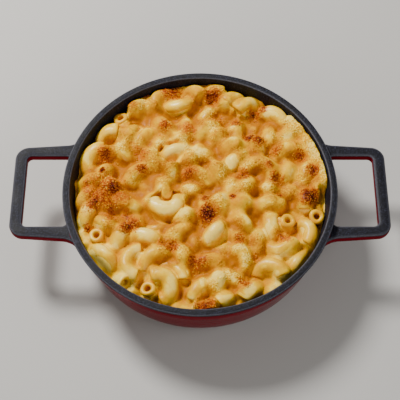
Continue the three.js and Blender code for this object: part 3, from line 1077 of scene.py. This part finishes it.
def makeCheese(maps, material):
    cells = heapSizes["cells"]
    unitX, unitY = discGrid(cells)
    skirt = heapSizes["topEdge"] - heapSizes["skirt"]
    edge = insideRadius(skirt, heapSizes["wallGap"])
    x, y = unitX * edge, unitY * edge
    z = readMap(maps["skin"], x, y)
    side = cells + 1
    top = np.stack([x, y, z], 2).reshape(-1, 3)
    i, j = np.meshgrid(np.arange(cells), np.arange(cells), indexing="ij")
    corner = (i * side + j).ravel()
    faces = np.stack([corner, corner + side, corner + side + 1, corner + 1], 1).tolist()
    border = [k * side for k in range(cells)] + [cells * side + k for k in range(cells)]
    border += [(cells - k) * side + cells for k in range(cells)] + [cells - k for k in range(cells)]
    points, below = [top], border
    for radius, height in bowlWalls(skirt):
        ring = top[border] * [radius / edge, radius / edge, 0] + [0, 0, height]
        start = sum(len(p) for p in points)
        points.append(ring)
        here = list(range(start, start + len(border)))
        after = here[1:] + here[:1]
        faces += [[a, b, c, d] for a, b, c, d in zip(below, here, after, below[1:] + below[:1])]
        below = here
    faces.append(below[::-1])
    cheese = meshPiece("melted_cheese", np.vstack(points), faces)
    turnOutward(cheese)
    bpy.ops.object.shade_smooth()
    crease = creaseShare(maps, x, y, z)
    cover, toast = readMap(maps["cheddar"], x, y), readMap(maps["toast"], x, y)
    cheddar = cheeseShade["base"] + cheeseShade["cover"] * cover
    # painted shade, partly sauce: the further below the crests, the deeper the orange
    cheddar += (cheeseShade["crease"] + cheeseShade["coveredCrease"] * cover) * crease
    cheddar += cheeseShade["toast"] * toast
    toast = toast * (1 - cheeseShade["toastLostInCrease"] * crease)
    crumbly = readMap(maps["crumbly"], x, y) * (1 - crease)
    under = np.zeros(len(cheese.data.vertices) - len(top))
    for name, values in (("cheddar", cheddar), ("toast", toast), ("crumbly", crumbly)):
        addAttribute(cheese, name, np.append(values, under))
    cheese.data.materials.append(material)
    finishPiece(cheese, "baked_pasta", "mac_and_cheese")


crumbSizes = {
    "tries": 26000,
    "least": 0.22 * mm,
    "most": 0.62 * mm,
    "seed": 7,
    "fromWall": 1.5 * mm,
    "toastGain": 1.3,
    "toastFrom": 0.08,
    "crumblyGain": 0.12,
    "knobbly": (0.6, 1.25),
    "stretch": (0.7, 1.3),
    "lift": 0.1,                # share of its size that a crumb stands up
    "toasting": (0.05, 1.2),
    "shades": [
        (0.00, (0.72, 0.34, 0.0)), (0.12, (0.60, 0.24, 0.0)), (0.30, (0.46, 0.11, 0.0)),
        (0.60, (0.21, 0.026, 0.003)), (0.96, (0.056, 0.005, 0.003))],
    "roughness": 0.42,
    "specular": 0.35,
}


def crumbMaterial():
    material, tree = newMaterial("toastedCrumb")
    return feedShader(material, {
        "Base Color": addRamp(tree, addShare(tree, "toast"), crumbSizes["shades"]),
        "Roughness": crumbSizes["roughness"],
        "Specular IOR Level": crumbSizes["specular"],
    })


# a rough ball of twenty faces for each crumb, scattered where the cheese has browned
def makeCrumbs(maps):
    bpy.ops.mesh.primitive_ico_sphere_add(subdivisions=1, radius=1)
    ball = bpy.context.object
    corners = np.array([v.co[:] for v in ball.data.vertices])
    sides = np.array([f.vertices[:] for f in ball.data.polygons])
    bpy.data.objects.remove(ball)
    chance = np.random.default_rng(crumbSizes["seed"])
    reach = insideRadius(heapSizes["topEdge"], crumbSizes["fromWall"])
    x, y = chance.uniform(-reach, reach, (2, crumbSizes["tries"]))
    toast = readMap(maps["toast"], x, y)
    likely = crumbSizes["toastGain"] * toast - crumbSizes["toastFrom"]
    likely += crumbSizes["crumblyGain"] * readMap(maps["crumbly"], x, y)
    kept = (np.hypot(x, y) < reach) & (chance.random(len(x)) < likely)
    x, y, toast = x[kept], y[kept], toast[kept]
    count = len(x)
    # most are small
    size = crumbSizes["least"] + (crumbSizes["most"] - crumbSizes["least"]) * chance.random(count) ** 2
    shape = corners[None] * chance.uniform(*crumbSizes["knobbly"], (count, len(corners), 1))
    shape = shape * size[:, None, None] * chance.uniform(*crumbSizes["stretch"], (count, 1, 3))
    place = np.stack([x, y, readMap(maps["top"], x, y) + crumbSizes["lift"] * size], 1)
    points = (shape + place[:, None, :]).reshape(-1, 3)
    faces = (sides[None] + len(corners) * np.arange(count)[:, None, None]).reshape(-1, 3)
    crumbs = meshPiece("toasted_crumbs", points, faces.tolist())
    useOnly(crumbs)
    bpy.ops.object.shade_smooth()
    toast = toast * chance.uniform(*crumbSizes["toasting"], count)
    addAttribute(crumbs, "toast", np.repeat(toast, len(corners)))
    crumbs.data.materials.append(crumbMaterial())
    finishPiece(crumbs, "baked_pasta")


# soft boxes: place, size, strength, colour
studioLights = {
    "keyBack": ((-0.42, 0.50, 0.78), 0.28, 18.0, (1.0, 0.97, 0.92)),
    "fillRight": ((0.75, -0.20, 0.60), 0.50, 2.1, (0.97, 0.98, 1.0)),
    "fillFront": ((-0.20, -0.85, 0.45), 0.60, 3.1, (1.0, 0.97, 0.93)),
}

stageLook = {
    "floorSize": 6,
    "floorNoise": (3, 2),
    "floorShades": [(0.3, (0.44, 0.435, 0.425)), (0.7, (0.46, 0.455, 0.445))],
    "floorRoughness": 0.85,
    "roomColour": (1.0, 0.95, 0.88, 1),
    "roomStrength": 0.18,
}


def floorMaterial():
    material, tree = newMaterial("palePaper")
    tone = addNoise(tree, *stageLook["floorNoise"])
    return feedShader(material, {
        "Base Color": addRamp(tree, tone, stageLook["floorShades"]),
        "Roughness": stageLook["floorRoughness"],
    })


def makeStage():
    bpy.ops.mesh.primitive_plane_add(size=stageLook["floorSize"], location=(0, 0, 0))
    floor = bpy.context.object
    floor.name = "floor"
    floor.data.materials.append(floorMaterial())
    for name, (place, size, power, colour) in studioLights.items():
        bpy.ops.object.light_add(type="AREA", location=place)
        light = bpy.context.object
        light.name = name
        light.data.shape = "DISK"
        light.data.size = size
        light.data.energy = power
        light.data.color = colour
        aim = Vector((0, 0, panSizes["height"])) - Vector(place)
        light.rotation_euler = aim.to_track_quat("-Z", "Y").to_euler()
    world = bpy.data.worlds.new("studio")
    world.use_nodes = True
    background = world.node_tree.nodes["Background"]
    background.inputs["Color"].default_value = stageLook["roomColour"]
    background.inputs["Strength"].default_value = stageLook["roomStrength"]
    bpy.context.scene.world = world


# where the camera stands, looking at a point in the plane of the rim
cameraView = {
    "focalLength": 87.75,
    "sensorWidth": 36,
    "distance": 0.590,
    "elevation": 62.5,
    "aimY": -0.0094,
}


def makeCamera():
    tilt = math.radians(90 - cameraView["elevation"])
    away = cameraView["distance"]
    place = (0, cameraView["aimY"] - away * math.sin(tilt), panSizes["height"] + away * math.cos(tilt))
    bpy.ops.object.camera_add(location=place, rotation=(tilt, 0, 0))
    camera = bpy.context.object
    camera.data.lens = cameraView["focalLength"]
    camera.data.sensor_width = cameraView["sensorWidth"]
    bpy.context.scene.camera = camera


makeCamera()
makeStage()
print("camera and stage ready")
deselectAll()
makePan()
places, turns, arcs = placeElbows()
places, turns = settleElbows(places, turns, arcs)
print("settled", len(places), "elbows")
maps = shapeCheese(places, turns, arcs)
print("shaped the cheese")
makeMacaroni(places, turns, arcs, maps, foodMaterial("saucedPasta", pastaFinish))
makeCheese(maps, foodMaterial("bakedCheddar", cheddarFinish))
makeCrumbs(maps)
